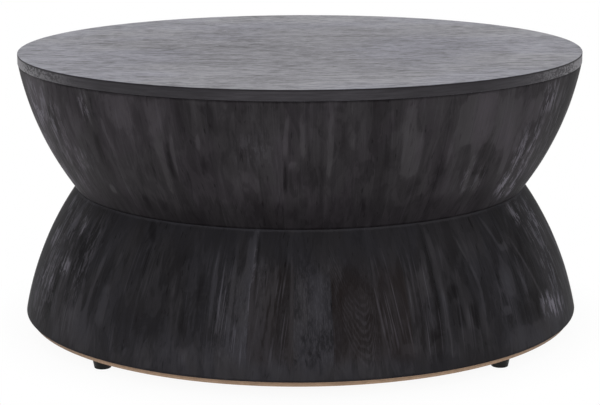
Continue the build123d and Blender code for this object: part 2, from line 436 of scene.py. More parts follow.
def make_piece(name, points, faces, finishes, kept):
    """A piece from its points and faces. `kept` are the numbers and vectors that its points keep
    for the finish to read. With two finishes, the upright faces take the second."""
    mesh = bpy.data.meshes.new(name)
    mesh.from_pydata(points.tolist(), [], [list(face) for face in faces])
    for key, values in kept.items():
        kind, field = ("FLOAT_VECTOR", "vector") if values.ndim == 2 else ("FLOAT", "value")
        mesh.attributes.new(key, kind, "POINT").data.foreach_set(field, values.ravel())
    work = bmesh.new()
    work.from_mesh(mesh)
    bmesh.ops.remove_doubles(work, verts=work.verts, dist=MERGE_DISTANCE)
    bmesh.ops.recalc_face_normals(work, faces=work.faces)
    work.to_mesh(mesh)
    work.free()
    mesh.shade_smooth()
    mesh.set_sharp_from_angle(angle=SHARP_ANGLE)
    for finish in finishes:
        mesh.materials.append(finish)
    if len(finishes) > 1:
        normals = np.empty(3 * len(mesh.polygons))
        mesh.polygons.foreach_get("normal", normals)
        upright = np.abs(normals[2::3]) < UPRIGHT_SHARE
        mesh.polygons.foreach_set("material_index", upright.astype(np.int32))
    piece = add_object(name, mesh)
    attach(piece, "root")
    return piece


print("grid helpers are ready")


# %% [markdown]
# ## Black wood
#
# The wood is stained black, brushed along the grain and rubbed thin in places. A scanned texture
# would be quick, but it would repeat and could not follow each stave. Noise is stretched along the
# grain instead: wide noise for clouds in the stain, narrower noise for streaks and lines, and the
# narrowest for hairs. Where these add up, the stain is thin and a greyer tone shows. The streaks
# also dent the surface.

# %% The staves' finish
RING_RATE = 500.0
RING_WOBBLE = 0.024
STEEP_SIDE = 1.2
STAVE_GLOSS = 0.05
STAVE_RELIEF = 0.00030
SCUFF_PALE = (0.345, 0.325, 0.388)
BROWN = (0.026, 0.0190, 0.0175)


def black_staves(name, black, grey, slate):
    """Stain on the staves. The grain vector holds metres across a stave from the middle of its
    arches, along it, and into it. The wall vector runs on from stave to stave, for clouds in the
    stain that cross the joints. Year rings are a wave over the growth, which is the place along
    the stave plus `arch` times the squared place across it, so their lines bend into arches. One
    side of an arch is steeper, and noise makes its lines wander."""
    wood = new_finish(name)
    grain = wood.stored("grain", 1)
    wall = wood.stored("wall", 1)
    across, along, _ = wood.parts(grain)
    speckled = wood.stored("speckled")

    clouds = wood.noise(wall, (24, 24, 10), 3, 0.55, 0.5)
    patches = wood.step(wood.noise(wall, (46, 46, 17), 3, 0.5, 1.2), 0.46, 0.56)
    streaks = wood.noise(grain, (110, 13, 110), 4, 0.6, 0.6)
    lines = wood.noise(grain, (330, 26, 330), 3, 0.65, 0.3)
    hairs = wood.noise(grain, (700, 26, 700), 3, 0.6)
    speckle = wood.step(wood.noise(grain, (620, 130, 620), 2, 0.6), 0.47, 0.62)
    brushed = wood.step(wood.noise(grain, (300, 8, 300), 2, 0.5, 0.2), 0.55, 0.63)
    brushed = brushed * wood.step(clouds, 0.40, 0.58) * wood.stored("brushed")
    scuffed = wood.step(wood.noise(grain, (125, 30, 125), 5, 0.72, 0.3), 0.50, 0.57)
    scuffed = scuffed * wood.stored("scuff")

    bend = wood.noise(grain, (60, 20, 60), 3)
    sideways = across + wood.larger(across, 0.0) * STEEP_SIDE
    growth = along + sideways * sideways * wood.stored("arch") + bend * RING_WOBBLE
    rings = wood.step(wood.wave(growth * RING_RATE), 0.40, 0.98)
    rings = rings * wood.stored("figure") * wood.step(clouds, 0.22, 0.50)
    rings = rings * (0.25 + wood.step(lines, 0.40, 0.60) * 0.75)

    # The rub also carries painted light and shade: the longest and widest strokes and the upper bowl's
    # dark hems.
    rub = wood.stored("rub")
    smear = (wood.noise(grain, (62, 20, 62), 4, 0.6, 0.8) - 0.5) * 1.2
    ticks = wood.step(wood.noise(grain, (240, 42, 240), 2, 0.5), 0.66, 0.71)
    pale_marks = wood.step(rub + smear, 0.22, 0.46)
    dark_marks = wood.step(smear - rub, 0.18, 0.60)
    stain = (streaks - 0.5) * 0.34 + (lines - 0.5) * 0.28 + (clouds - 0.5) * 0.95
    stain = stain + (patches - 0.5) * 0.22
    stain = stain * (1 - pale_marks * 0.45) * (1 - wood.stored("calm") * 0.65)
    level = stain + rub * 0.26 + pale_marks * 0.24 - dark_marks * 0.12 + 0.42
    level = level + wood.stored("tone") * 0.12
    level = level + brushed * 0.34 + scuffed * 0.75 + rings * 0.72
    level = level + (speckle - 0.35) * speckled * 0.36 - ticks * 0.22
    level = level + wood.step(wood.stored("edge") + streaks, 1.35, 1.6) * 0.25
    thin = wood.step(level, -0.25, 1.35)
    cool = wood.step(wood.noise(wall, (15, 15, 9), 2, 0.5, 0.8), 0.42, 0.60)
    tinted = wood.mix(cool * 0.6, grey, slate)
    shade = wood.mix(wood.step(hairs, 0.5, 0.72) * 0.15, wood.mix(thin, black, tinted), black)
    shade = wood.mix(scuffed * 0.36 + brushed * 0.10, shade, SCUFF_PALE)
    warm = wood.step((1 - clouds) * 0.5 + wood.stored("brown"), 0.45, 1.1)
    shade = wood.mix(warm * 0.6 * (1 - scuffed), shade, BROWN)

    slant = wood.node("ShaderNodeLayerWeight", {}, {0: 0.5}, 1)
    relief = hairs * 0.3 + lines * 0.35 + streaks * 0.5 + rings * 0.3 + speckle * speckled * 0.25
    relief = relief + (scuffed + brushed) * 0.25
    skin = wood.surface(
        Base_Color=shade,
        Roughness=0.55 + hairs * 0.12 + thin * 0.06,
        Specular_IOR_Level=STAVE_GLOSS,
        Coat_Weight=wood.step(slant, 0.90, 0.995) * 0.42,
        Coat_Roughness=0.45,
        Normal=wood.bump(relief, STAVE_RELIEF),
    )
    return wood.end(skin)


UPPER_BLACK = (0.0100, 0.0083, 0.0100)
UPPER_GREY = (0.0860, 0.0775, 0.0870)
UPPER_SLATE = (0.0800, 0.0770, 0.0800)
LOWER_BLACK = (0.0066, 0.0060, 0.0067)
LOWER_GREY = (0.0655, 0.0622, 0.0690)
LOWER_SLATE = (0.0622, 0.0608, 0.0725)
upper_finish = black_staves("black_upper_staves", UPPER_BLACK, UPPER_GREY, UPPER_SLATE)
lower_finish = black_staves("black_lower_staves", LOWER_BLACK, LOWER_GREY, LOWER_SLATE)
print("stave finishes:", upper_finish.name, lower_finish.name)


# %% [markdown]
# ## The staves
#
# A cooper cuts each stave with a slight taper, bevels its long edges, glues four or so into a panel
# and then turns or scrapes the whole bowl round. A loop of points goes across the outer face and
# back across the inner one, and is carried from the waist to the rim. Every stave gets its own small
# level, tilt and tone, because no two boards take a scraper or a stain alike.

# %% Stave shapes
LONG_EASE = 0.00030
END_EASE = 0.0009
ACROSS_COUNT = 20
ALONG_COUNT = 62
LEVEL_SPREAD = 0.00005
TILT_SPREAD = 0.00008
SCRAPED_WAVE = 0.00006
EDGE_REACH = 0.003
HEM_REACH = 0.0040
GRAIN_SHIFT = 0.061
LIMB_REACH = 0.046
WALL_RADIUS = 0.42


def stave_grid(bowl, start, end, number, look, dice):
    """One stave. Its loop runs across the outer face and back across the inner one, between two
    joint angles. A point's radius is the bowl's at that height and depth, and the depth adds the
    eased edges, the stave's level and tilt, and a scraped wave along it. Its grain leans: the
    place across it moves by `lean` for each metre along it. Its arches fade away from one place
    along it and one across it, by e to the power of -(distance^4)."""
    width = (end - start) * bowl.radius(bowl.height / 2, 0.0)
    across, groove = eased_steps(width, ACROSS_COUNT, LONG_EASE)
    height, end_drop = eased_steps(bowl.height, ALONG_COUNT, END_EASE)
    share = across / width
    along = bowl.along(height)

    level = LEVEL_SPREAD * dice.uniform(-1, 1)
    tilt = TILT_SPREAD * dice.uniform(-1, 1)
    wave_length = dice.uniform(0.05, 0.11)
    wave = np.sin(2 * np.pi * along / wave_length + dice.uniform(0, 6.28))
    outer = groove[None, :] + end_drop[:, None]
    outer = outer + level + tilt * (2 * share - 1)[None, :] + SCRAPED_WAVE * wave[:, None]
    inner = np.full_like(outer, STAVE_THICKNESS)
    depth = np.concatenate([outer, inner], axis=1)

    share = np.concatenate([share, share[::-1]])[None, :]
    radius = bowl.radius(height[:, None], depth)
    angle = start + share * (end - start) + np.zeros_like(radius)
    z = np.broadcast_to((WAIST_Z + bowl.upwards * height)[:, None], radius.shape)
    points = np.stack([radius * np.cos(angle), radius * np.sin(angle), z], axis=-1)

    along = np.broadcast_to(along[:, None], radius.shape)
    full = bowl.along(bowl.height)
    across = (share - look["arch_side"]) * (end - start) * radius + look["lean"] * (along - full / 2)
    grain = np.stack([across, along, depth + GRAIN_SHIFT * number], axis=-1)
    growth = (along + look["arch"] * across ** 2) / full
    figure = look["figure"] * np.exp(-((growth - look["arch_at"]) / look["arch_reach"]) ** 4)
    figure = figure * np.exp(-(across / LIMB_REACH) ** 4)
    wall = np.stack([WALL_RADIUS * np.cos(angle), WALL_RADIUS * np.sin(angle), z], axis=-1)
    to_edge = np.minimum(share, 1 - share) * width
    near_end = np.minimum(height, bowl.height - height)[:, None]
    edge = np.clip(1 - np.minimum(to_edge, near_end) / EDGE_REACH, 0, 1)
    degrees = np.degrees(angle - FRONT)
    degrees = (degrees + 180) % 360 - 180
    # Hems darken or lighten a thin strip at each end of the stave. On the upper bowl they are painted
    # shadow: the dark line in the gap under the top and in the waist seam.
    hem = np.clip(1 - near_end / HEM_REACH, 0, 1) + np.zeros_like(radius)
    at_waist = (height < bowl.height / 2)[:, None]
    rub = hem * np.where(at_waist, look["waist_hem"], look["rim_hem"])
    down = 1 - along / full if bowl.upwards > 0 else along / full
    values = {"grain": grain, "wall": wall, "edge": edge, "figure": figure, "rub": rub}
    return points, values, degrees, down


# %% [markdown]
# ## Each stave's own look
#
# A dice with a fixed seed gives every stave its tone, and says how brushed, speckled and figured it
# is. The staves at the front are then set one by one: one is pale and speckled, and the one beside it
# shows tall arches, where the saw cut through the year rings.

# %% Stave looks
STAVES = STAVES_PER_PANEL * PANELS
LOOK_RANGES = {
    "tone": (-1.0, 1.0), "brown": (0.0, 0.40), "arch": (-60.0, 60.0), "arch_side": (0.3, 0.7),
    "arch_at": (0.3, 0.8), "arch_reach": (0.15, 0.3), "figure": (0.0, 0.12), "brushed": (0.2, 1.0),
    "speckled": (0.0, 0.3), "lean": (-0.06, 0.06), "calm": (0.45, 0.75),
}
SHAPING_LOOKS = ("arch_side", "arch_at", "arch_reach", "figure", "lean", "rim_hem", "waist_hem")


def drawn_looks(seed, shared, by_hand):
    """A look for each stave from a seeded dice, then the values that all staves share and those
    that are set one by one."""
    dice = np.random.default_rng(seed)
    looks = [
        {key: dice.uniform(low, high) for key, (low, high) in LOOK_RANGES.items()} | shared
        for _ in range(STAVES)
    ]
    for number, values in by_hand.items():
        looks[number].update(values)
    return looks


PLAIN = {"calm": 0.0, "figure": 0.0, "lean": 0.0}
# Painted shadow: the upper staves' dark hems under the top and in the waist seam.
upper_looks = drawn_looks(11, {
    "figure": 0.0, "calm": 0.55, "brushed": 0.3, "rim_hem": -0.9, "waist_hem": -0.8,
}, {
    0: {"tone": 0.5, "brown": 0.1},
    47: {"tone": 0.1, "lean": 0.0},
    46: {"tone": 0.2, "speckled": 0.3},
})
# The lower staves are darker at the foot end and carry a thin lighter line at the waist edge.
lower_looks = drawn_looks(23, {"rim_hem": -0.5, "waist_hem": 0.9}, {
    0: PLAIN | {
        "tone": 0.1, "brown": 0.62, "speckled": 0.6, "brushed": 0.3, "figure": 1.0,
        "arch": 50.0, "arch_side": 0.74, "arch_at": 0.70, "arch_reach": 0.22,
    },
    1: PLAIN | {"tone": 0.1, "brown": 0.66, "brushed": 1.3, "lean": -0.12},
    2: PLAIN | {"tone": 0.0, "brown": 0.40, "brushed": 0.8},
    47: PLAIN | {"tone": 1.0, "brown": 0.0, "brushed": 0.2, "speckled": 1.0},
    46: PLAIN | {
        "calm": 0.1, "tone": 0.0, "brown": 0.58, "brushed": 0.9, "speckled": 0.4, "lean": 0.12,
    },
    45: PLAIN | {"tone": 0.5, "brown": 0.05, "brushed": 0.9, "speckled": 0.6, "lean": 0.05},
    44: {"tone": 0.2, "brown": 0.0, "figure": 0.1, "brushed": 0.8, "speckled": 0.2, "lean": 0.0},
})
print("looks drawn for", len(upper_looks) + len(lower_looks), "staves")

# %% [markdown]
# ## Marks and scuffs
#
# Marks are soft strokes where a rag rubbed the stain thin or where it pooled dark. The widest of
# them, at the flanks and along the front near the waist and the foot, are painted light and shade
# instead. Scuffs are worn through to pale wood. Noise alone would spread both evenly, so the ones
# that catch the eye are listed, and those at the sides and the back come from a dice.

# %% Marks and scuffs
def stroke(degrees, share, middle, down, half_width, half_length, strength, lean=0.0):
    """A flat-topped hill: its strength times e to the power of -(across^4 + along^4), which are
    distances in half widths and half lengths. It leans by some degrees for each half length."""
    along = (share - down / 100) / (half_length / 100)
    across = (degrees - middle - lean * along) / half_width
    return strength / 100 * np.exp(-across ** 4 - along ** 4)


def strokes_at(strokes, degrees, share):
    """All the strokes together, at degrees from the front and shares of the way down the wall."""
    return sum(stroke(degrees, share, *numbers) for numbers in strokes)


# A row is a stroke's middle in degrees from the front, its percent of the way down the wall, its half
# width in degrees, its half length and strength in percent, and its lean in degrees if it has one.
# A strength below zero darkens the stain.
# Painted shade and light: the wide dark stroke along the front above the waist, (0, 90, 60, 16, -42),
# and the long strokes at the flanks near 62 to 70 degrees stand in for light and shade, not for
# rubbing.
UPPER_MARKS = [
    (-64, 15, 4, 14, 70), (-69, 10, 5, 14, 70), (-49, 28, 2, 12, 35), (-18.4, 12, 2.4, 12, -40),
    (9, 66, 9, 12, -25), (0, 90, 60, 16, -42), (40, 24, 14, 26, 35), (70, 45, 9, 60, -60),
    (-62, 40, 10, 60, 42), (-30, 20, 10, 30, 20), (35, 18, 3.4, 19, 80), (43.3, 26, 2.8, 16, 65, 0.6),
    (46.3, 50, 1.1, 20, 70, 1), (21.7, 42, 2.1, 19, 70), (20.3, 16, 1.5, 14, 50),
    (51.5, 19, 2.2, 9, 50), (48.6, 42, 1, 7, 50), (55, 56, 1, 13, 80), (51.5, 66, 0.9, 12, 60, 0.8),
    (57.5, 62, 1.2, 14, 50), (36.8, 63, 0.7, 15, 70, 0.3), (40.3, 72, 0.7, 7, 60),
    (56, 86, 2.2, 5, 80, 0.6), (49.5, 80, 0.8, 6, 60, 0.8), (5.4, 45, 0.7, 42, 45), (9, 20, 1, 20, 35),
    (28.4, 32, 1, 32, -30), (29, 60, 1.7, 13, -48), (16.4, 32, 0.8, 25, -42, 0.6),
    (23.4, 65, 1.8, 8, -42), (34, 41, 1, 5, -42), (41.4, 56, 1.2, 14, -54, 0.6),
    (38.4, 52, 0.8, 16, -36), (60, 80, 2.6, 10, -36), (13.3, 78, 0.4, 6, -80, 0.2),
    (12.5, 50, 2.6, 10, -30), (0.6, 53, 3.4, 10, -30), (-3.1, 55, 0.35, 12, -90), (4, 40, 0.5, 36, -30),
    (-2.7, 24, 0.5, 16, 60, -0.3), (0.3, 26, 0.5, 15, 60, 0.3), (-1.4, 45, 1.1, 4, 60),
    (-11, 58, 3.4, 10, 35), (-13.4, 9, 1.9, 8, 20), (-8.8, 15, 4.6, 1.6, -13, 0.5),
    (-8, 22, 4.2, 1.3, -15, -0.4), (-7.4, 28, 3.6, 1.3, -12, 0.3), (-25.8, 25, 0.5, 9, -54),
    (-26.2, 46, 0.5, 13, -60), (-25, 45, 0.5, 20, 60), (-27.8, 55, 0.9, 28, 40),
    (-22.3, 13, 0.6, 13, -48), (-19.3, 18, 0.5, 20, 60), (-16.7, 16, 1, 16, -48),
    (-19, 46, 0.5, 10, -42), (-23.2, 58, 0.9, 6, -48), (-28, 14, 1.6, 12, 40), (-36, 12, 3.2, 12, 45),
    (-25, 93, 4, 7, -36), (-35.8, 83, 0.6, 6, -48), (-34.8, 64, 0.8, 8, -36), (-31, 53, 0.6, 8, -42),
    (-31.6, 84, 1, 5, -36), (-45.4, 77, 1.2, 4, 90), (-46.6, 58, 0.8, 12, 15, 0.5),
    (-42.5, 64, 1, 12, 20, 0.3), (-51.8, 56, 2.3, 8, 50), (-55.5, 38, 0.9, 10, 40, 0.3),
    (-43.8, 14, 0.6, 16, 50), (-40.3, 30, 0.6, 14, 50, 0.6), (-62.5, 8, 4, 10, 90),
    (-66, 22, 2.2, 13, 60), (-48.2, 52, 1, 10, -42), (-42.3, 10, 1.4, 10, -36),
    (-43.6, 42, 0.8, 12, -36), (-58.5, 28, 2.2, 12, -42), (-63, 55, 2.4, 10, -36),
    (-62, 72, 2.6, 10, -30),
]
# Painted light and shade: the long strokes at the flanks, half length fifty or more, and the wide pale
# stroke along the front towards the foot, (-8, 92, 34, 16, 40), stand in for light and shade, not for
# rubbing.
LOWER_MARKS = [
    (74, 50, 8, 60, 25), (-74, 50, 8, 60, 20), (55, 93, 12, 12, 65), (-53.5, 87, 9, 16, 60),
    (49.5, 40, 3, 16, 35), (-10.2, 54, 2.4, 26, 45), (-0.9, 70, 1.8, 12, 50), (-64, 8, 6, 10, 50),
    (-79, 45, 5, 50, -40), (80, 40, 6, 50, -50), (54, 60, 2, 22, 35), (-51.6, 70, 2.5, 10, 35),
    (33, 48, 6, 42, -10), (56, 40, 7, 60, -35), (-58, 45, 9, 60, -40), (-8, 92, 34, 16, 40),
    (-30, 22, 18, 26, -15), (30, 14, 14, 14, 12), (-10.1, 32, 0.4, 32, 100), (-10.8, 22, 0.9, 17, 60),
    (-14, 55, 0.35, 42, 70), (-17.9, 40, 0.4, 30, 60), (-13, 42, 1.6, 18, 40), (-11.1, 66, 0.6, 10, 60),
    (-26.6, 43, 0.7, 9, 60), (-20, 30, 2.4, 14, 25), (-9.3, 27, 0.45, 20, -80), (-23.2, 66, 1, 12, -50),
    (-20.6, 42, 0.7, 10, -50), (-36, 8, 1, 7, -50, 0.8), (-34.6, 30, 0.5, 12, -60),
    (-3.6, 38, 1.3, 36, -30), (-5.8, 55, 0.35, 32, 90, -1), (-7.4, 62, 0.35, 26, 80, -1.2),
    (-8.6, 66, 0.35, 20, 70, -1), (-1.9, 42, 0.4, 32, 70), (2.4, 45, 2.4, 18, 40), (1, 76, 1.2, 6, -40),
    (6.4, 46, 0.5, 12, -90), (15.4, 55, 0.3, 36, 60, 0.5), (18.4, 55, 0.3, 32, 50, 0.9),
    (22.2, 52, 0.35, 28, 50), (24.6, 65, 0.3, 24, 40, -0.5), (20.6, 82, 1.4, 3, 50),
    (29.5, 48, 0.7, 46, 35), (27.8, 45, 0.6, 42, -60, -0.4), (26.6, 84, 1.2, 12, -60),
    (32.2, 50, 1.4, 5, -60), (32.7, 66, 0.8, 8, -80), (34.5, 64, 0.6, 14, 50), (36.2, 68, 0.9, 9, -60),
    (38.8, 36, 0.5, 30, 40, 0.4), (38.5, 72, 0.7, 16, 50), (25.6, 42, 1.5, 11, 50),
    (48, 53, 1.9, 11, 70), (53, 58, 0.6, 20, 40, 1.5), (45.2, 70, 1.5, 3, 70), (50.6, 28, 1.6, 3, 60),
    (48, 16, 0.5, 14, 50, 1.2), (56.2, 47, 0.4, 26, 100, 2.6), (55.6, 14, 0.4, 10, 80, -1.7),
    (51.6, 20, 0.35, 14, 60, -0.3), (37.6, 27, 0.35, 16, 50, 1.2), (60.4, 6, 2.4, 5, 80),
    (60.1, 78, 1.8, 5, 90), (62, 79, 5, 11, 50), (-70, 80, 5, 10, 35), (54.6, 72, 1.4, 12, -40),
    (-66.2, 13, 0.9, 9, 70), (-60.4, 18, 1.1, 6, 100), (-60, 46, 1.8, 6, 100), (-67, 60, 3, 8, 70),
    (-59.5, 60, 1.4, 10, 50), (-51.5, 22, 0.9, 16, 60, 0.5), (-47.6, 50, 0.7, 26, 60, -0.6),
    (-55, 62, 0.8, 18, 50, -0.4), (-50.8, 72, 0.9, 15, 50), (-43.4, 62, 1.4, 15, 60),
    (-42.5, 30, 0.5, 14, 50), (-58, 36, 2, 12, -70), (-70, 16, 2.6, 12, -60), (-44.6, 42, 1.8, 8, -15),
    (-63, 74, 2.2, 10, -50),
]
UPPER_SCUFFS = [
    (54, 60, 4.5, 28, 85), (51, 76, 2, 10, 50, 0.6), (57, 13, 3.2, 10, 70), (63, 45, 4, 40, 25),
    (56, 86, 3, 6, 80, 0.6), (40, 66, 2, 12, 22), (36.5, 62, 1.2, 14, 30), (-9, 34, 3.6, 12, 12),
    (-51.8, 56, 2.3, 9, 50), (-47, 55, 1.2, 20, 10, 0.3), (-66, 20, 3.6, 16, 130), (-58, 30, 4, 14, 60),
    (-70, 60, 5, 30, 70), (-61, 10, 3, 8, 60), (-45, 12, 2, 10, 40), (-58, 62, 4, 24, 40),
]
LOWER_SCUFFS = [
    (-69, 45, 9, 50, 30), (-60.4, 18, 1.4, 7, 70), (-60.5, 49, 1.8, 6, 80), (-68, 62, 3.4, 7, 60),
    (-73.5, 36, 2.6, 6, 50), (-74.5, 12, 2.4, 8, 50), (-54, 40, 3, 30, 30),
    (-10.1, 40, 0.35, 40, 35, -0.4), (-8, 34, 1.4, 14, 12), (62, 10, 2.6, 8, 70), (60.5, 77, 3, 8, 100),
    (65, 82, 3.6, 7, 70), (67, 40, 5, 42, 40), (73, 20, 3.4, 14, 50), (53.5, 50, 1.6, 26, 10),
    (45, 66, 3, 14, 10),
]


SIDE_SCUFF_PLACES = np.arange(86.0, 276.0, 13.0)
SMALLEST_SCUFF = (10, 2.5, 15)
LARGEST_SCUFF = (90, 8.0, 55)
SIDE_SCUFF_STRENGTHS = (5, 35)


def side_scuffs(seed):
    """Weaker scuffs for the sides and the back, one every 13 degrees or so, from a seeded dice."""
    dice = np.random.default_rng(seed)
    scuffs = []
    for degrees in SIDE_SCUFF_PLACES:
        middle = degrees + dice.uniform(-6, 6)
        middle = middle - 360 if middle > 180 else middle
        down, half_width, half_length = dice.uniform(SMALLEST_SCUFF, LARGEST_SCUFF)
        scuffs.append((middle, down, half_width, half_length, dice.uniform(*SIDE_SCUFF_STRENGTHS)))
    return scuffs


UPPER_SCUFFS += side_scuffs(31)
LOWER_SCUFFS += side_scuffs(32)
print("marks:", len(UPPER_MARKS) + len(LOWER_MARKS), "scuffs:", len(UPPER_SCUFFS) + len(LOWER_SCUFFS))


# %% [markdown]
# ## Panels of four
#
# Staves are glued four at a time, and each panel is one piece here, as in the solid model. Where the
# stain is calm, the tones drawn for the staves fade. Near the lower bowl's waist the calm is painted
# shade: it copies the plain, dark look under the upper bowl.

# %% Stave panels
PANEL_SEED = 5
CALM_BROWN = 0.2
UPPER_CALM = (0.55, 0.85)
WAIST_SHADE_CALM = (0.10, 0.42)
FOOT_CALM = (0.82, 0.96)


def smooth(value, low, high):
    """0 below low, 1 above high and 3 t squared - 2 t cubed between."""
    share = np.clip((value - low) / (high - low), 0, 1)
    return share * share * (3 - 2 * share)


def calm_at(down, upwards):
    """How plain the stain is. The upper bowl calms towards the waist, and the lower one near the
    waist and near the foot. Near the lower bowl's waist the calm is painted shade."""
    if upwards > 0:
        return smooth(down, *UPPER_CALM) * 0.8
    return 1 - smooth(down, *WAIST_SHADE_CALM) * (1 - smooth(down, *FOOT_CALM))


def stave_panels(word, bowl, joints, looks, marks, scuffs, finish):
    """Twelve pieces of four staves, each standing for one solid panel."""
    dice = np.random.default_rng(PANEL_SEED)
    for panel in range(PANELS):
        points, faces, kept = [], [], {}
        start = 0
        for number in range(panel * STAVES_PER_PANEL, (panel + 1) * STAVES_PER_PANEL):
            look = looks[number]
            grid, values, degrees, down = stave_grid(
                bowl, joints[number], joints[number + 1], number, look, dice
            )
            values["rub"] = values["rub"] + strokes_at(marks, degrees, down)
            values["scuff"] = strokes_at(scuffs, degrees, down)
            for key in look:
                if key not in SHAPING_LOOKS:
                    values[key] = np.full_like(degrees, look[key])
            values["calm"] = np.maximum(values["calm"], calm_at(down, bowl.upwards))
            for key in ("brushed", "speckled", "tone"):
                values[key] = values[key] * (1 - values["calm"])
            values["brown"] = values["brown"] * (1 - values["calm"]) + CALM_BROWN * values["calm"]
            for key, value in values.items():
                flat = value.reshape(degrees.size, -1).squeeze()
                kept.setdefault(key, []).append(flat)
            points.append(grid.reshape(-1, 3))
            faces.append(closed_faces(*degrees.shape) + start)
            start += degrees.size
        kept = {key: np.concatenate(parts) for key, parts in kept.items()}
        name = f"{word}_staves_{panel + 1:02d}"
        piece = make_piece(name, np.concatenate(points), np.concatenate(faces), [finish], kept)
        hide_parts(f"{word}_stave_panel_{panel + 1:02d}")


stave_panels(
    "upper", upper_bowl, upper_joints, upper_looks, UPPER_MARKS, UPPER_SCUFFS, upper_finish,
)
stave_panels(
    "lower", lower_bowl, lower_joints, lower_looks, LOWER_MARKS, LOWER_SCUFFS, lower_finish,
)
print("stave panels:", 2 * PANELS)


# %% [markdown]
# ## The top
#
# Seven boards are glued edge to edge and sawn round, so each board is a strip of one disc. Its
# grain runs along the board, which puts long grain on the front edge and end grain at the sides. The
# stain is brushed thin on the face, and end grain drinks it unevenly.
# The rim's pale sides are partly a painted sheen.

# %% The top's finish
TOP_BLACK = (0.026, 0.024, 0.034)
TOP_GREY = (0.157, 0.152, 0.192)
TOP_BLUE = (0.149, 0.147, 0.213)
TOP_RELIEF = 0.00032


def black_top(name):
    """Stain on the top's face, read from the place on the board with the grain along x."""
    wood = new_finish(name)
    board = wood.stored("board")
    place = wood.place()
    x, y, _ = wood.parts(place)
    shifted = wood.vector_maths("ADD", place, wood.vector(board * 0.9, 0.0, board * 0.37))

    clouds = wood.noise(shifted, (9, 26, 26), 3, 0.55, 0.2)
    streaks = wood.noise(shifted, (20, 120, 120), 4, 0.65, 0.1)
    lines = wood.noise(shifted, (48, 230, 230), 3, 0.7, 0.05)
    flecks = wood.step(wood.noise(shifted, (70, 170, 170), 3, 0.6), 0.60, 0.70)
    hairs = wood.noise(shifted, (30, 900, 900), 3, 0.6)
    pores = wood.step(wood.noise(shifted, (55, 190, 190), 3, 0.6), 0.58, 0.68)
    tint = wood.step(wood.noise(place, (4, 6, 6), 2) + wood.size(x) * 0.35, 0.46, 0.68)

    out = wood.vector_maths("LENGTH", wood.vector(x, y, 0.0), output=1)
    level = (streaks - 0.5) * 1.2 + (clouds - 0.5) * 0.8 + (lines - 0.5) * 2.3 + 0.58
    outer = wood.step(out, 0.20, 0.44)
    level = level + outer * 0.06 + flecks * 0.7
    thin = wood.step(level, 0.0, 1.0)
    shade = wood.mix(thin, TOP_BLACK, wood.mix(tint, TOP_GREY, TOP_BLUE))
    shade = wood.mix(pores * 0.6, shade, TOP_BLACK)

    relief = streaks * 0.8 + lines * 0.5 + hairs * 0.3 - pores * 0.2
    skin = wood.surface(
        Base_Color=shade,
        Roughness=0.43 - thin * 0.17 + hairs * 0.08 + (1 - outer) * 0.04,
        Specular_IOR_Level=0.5,
        Normal=wood.bump(relief, TOP_RELIEF),
    )
    return wood.end(skin)


RIM_DARK = (0.0190, 0.0172, 0.0205)
RIM_GREY = (0.0790, 0.0735, 0.0835)
RIM_PALE = (0.245, 0.238, 0.256)
RIM_RELIEF = 0.00030
# Heights of a dark band under the top's arris, which is painted shade.
ARRIS_SHADE_BAND = (TOP_FACE_Z - 0.0032, TOP_FACE_Z - 0.0014)


def black_rim(name):
    """The sawn rim. At the front it is long grain, and towards the sides end grain, which takes
    the stain in pale and dark blotches. The pale at the sides is partly a painted sheen. Two darker
    bands beside the front and a dark band under the top's arris are painted shade."""
    wood = new_finish(name)
    place = wood.place()
    x, _, z = wood.parts(place)
    aside = wood.size(x)
    streaks = wood.noise(place, (22, 22, 340), 3, 0.6)
    speckle = wood.noise(place, (230, 150, 330), 3, 0.7)
    blotch = wood.noise(place, (26, 26, 60), 3, 0.6)
    ends = wood.step(aside, 0.31, 0.45)
    end_grain_and_sheen = speckle * 0.7 + blotch * 0.3 + wood.step(aside, 0.40, 0.46) * 0.12
    shade = wood.mix(wood.step(streaks, 0.0, 1.02), RIM_DARK, RIM_GREY)
    between = wood.step(aside, 0.08, 0.16) * (1 - wood.step(aside, 0.26, 0.34))
    # Painted shade: two darker bands, one either side of the front.
    shade = wood.mix(between * 0.38, shade, RIM_DARK)
    # Pale end-grain blotches towards the sides, partly a painted sheen where the rim turns away.
    shade = wood.mix(wood.step(end_grain_and_sheen, 0.46, 0.56) * ends, shade, RIM_PALE)
    # Painted shade: a dark band just under the top's arris.
    shade = wood.mix(wood.step(z, *ARRIS_SHADE_BAND), shade, RIM_DARK)
    skin = wood.surface(
        Base_Color=shade,
        Roughness=0.50 + speckle * 0.12,
        Specular_IOR_Level=0.22,
        Normal=wood.bump(streaks * (1 - ends) + speckle * ends, RIM_RELIEF),
    )
    return wood.end(skin)


top_finish = black_top("black_top_boards")
rim_finish = black_rim("black_sawn_rim")
print("top finishes:", top_finish.name, rim_finish.name)

# %% [markdown]
# ## The boards' shapes
#
# Two arcs and two straight joints bound a board. Boards cut from a cylinder would need their edges
# rounded one by one, so the outline is carried up the edge instead, and each row is drawn in by its
# place on the round: wide at the rim and fine at the joints.

# %% Top board shapes
BOARD_COUNT = 7
RIM_EASE = 0.0008
JOINT_EASE = 0.00012
FLAT_MARGIN = 0.0015
FACE_COLUMNS = 40
ARC_POINTS = 60
BOARD_WIDTH = 2 * TOP_RADIUS / BOARD_COUNT


def board_profile():
    """The board's edge from under it to over it: two flat margins, two quarter rounds and the band
    between. A row says how far it is drawn in and how far it lies from the nearer face, counted in
    eases, and the second array is 1 for the rows by the upper face and 0 for those by the lower."""
    turn = EASE_TURNS[::-1]
    rounded = np.stack([1 - np.cos(turn), 1 - np.sin(turn)], axis=1)
    flat = [[1 + FLAT_MARGIN / RIM_EASE, 0.0]]
    under = np.concatenate([flat, rounded])
    return np.concatenate([under, under[::-1]]), np.repeat([0.0, 1.0], len(under))


